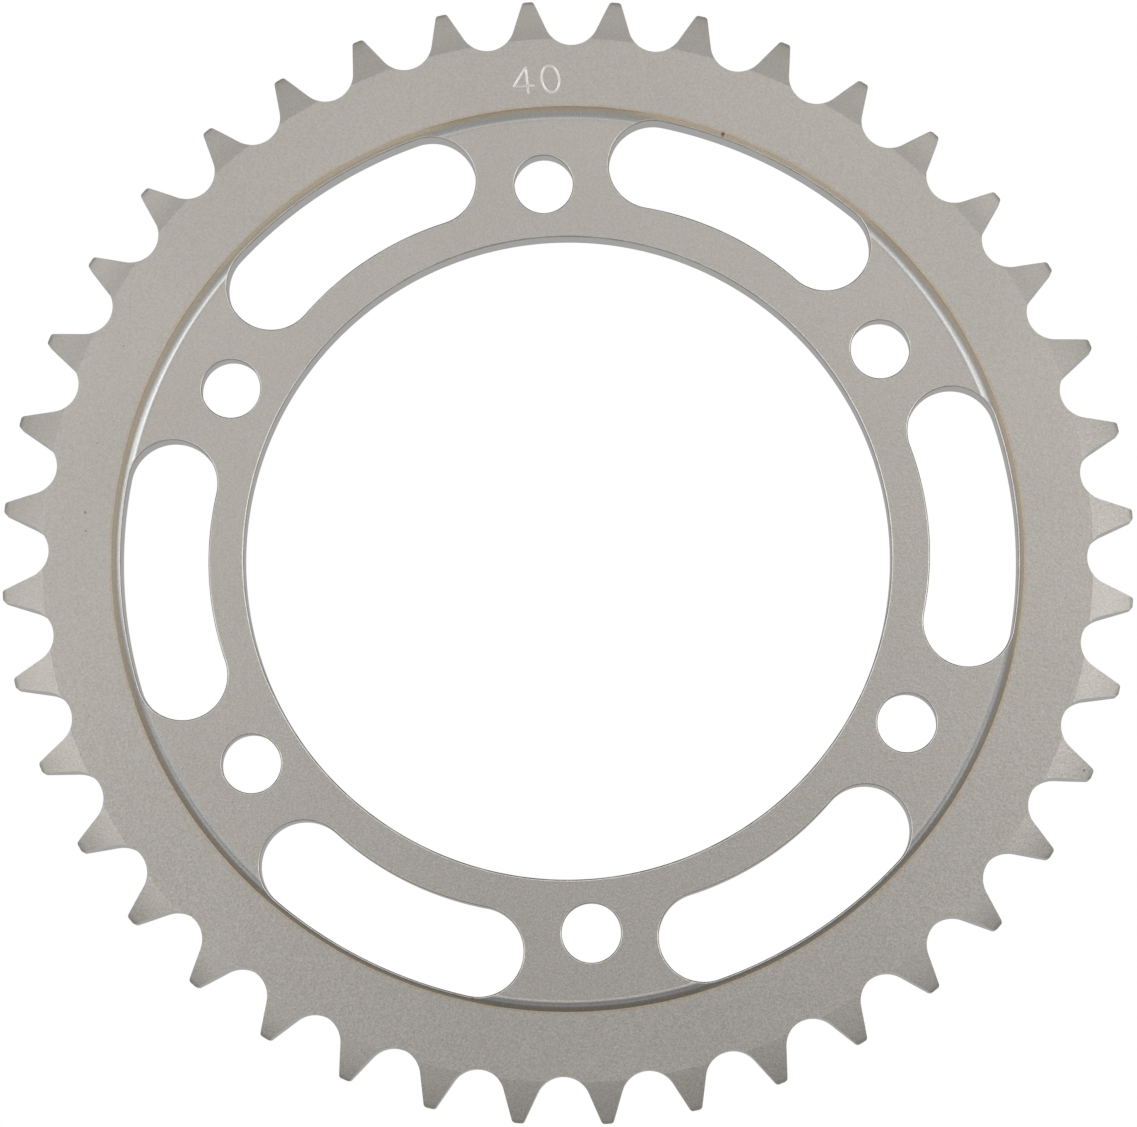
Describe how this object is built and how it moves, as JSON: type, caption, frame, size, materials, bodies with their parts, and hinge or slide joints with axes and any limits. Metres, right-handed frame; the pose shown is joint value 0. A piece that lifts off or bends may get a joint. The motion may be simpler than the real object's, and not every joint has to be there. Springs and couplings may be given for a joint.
{
  "type": "rear sprocket",
  "caption": "One-piece steel motorcycle rear sprocket with a turned recess, central bore, stud holes and curved lightening slots.",
  "frame": {"origin": "centre of the bore on the flat back face, which seats on the wheel's sprocket carrier", "axes": "+Z along the wheel axis out of the recessed front face, +Y through the centre of one stud hole, X and Y in the plane of the back face"},
  "size_m": [0.2098, 0.2098, 0.0087],
  "materials": {
    "steel": "bead-blasted and thinly plated, satin warm grey"
  },
  "bodies": {
    "root": {"sprocket": "steel"}
  },
  "joints": []
}
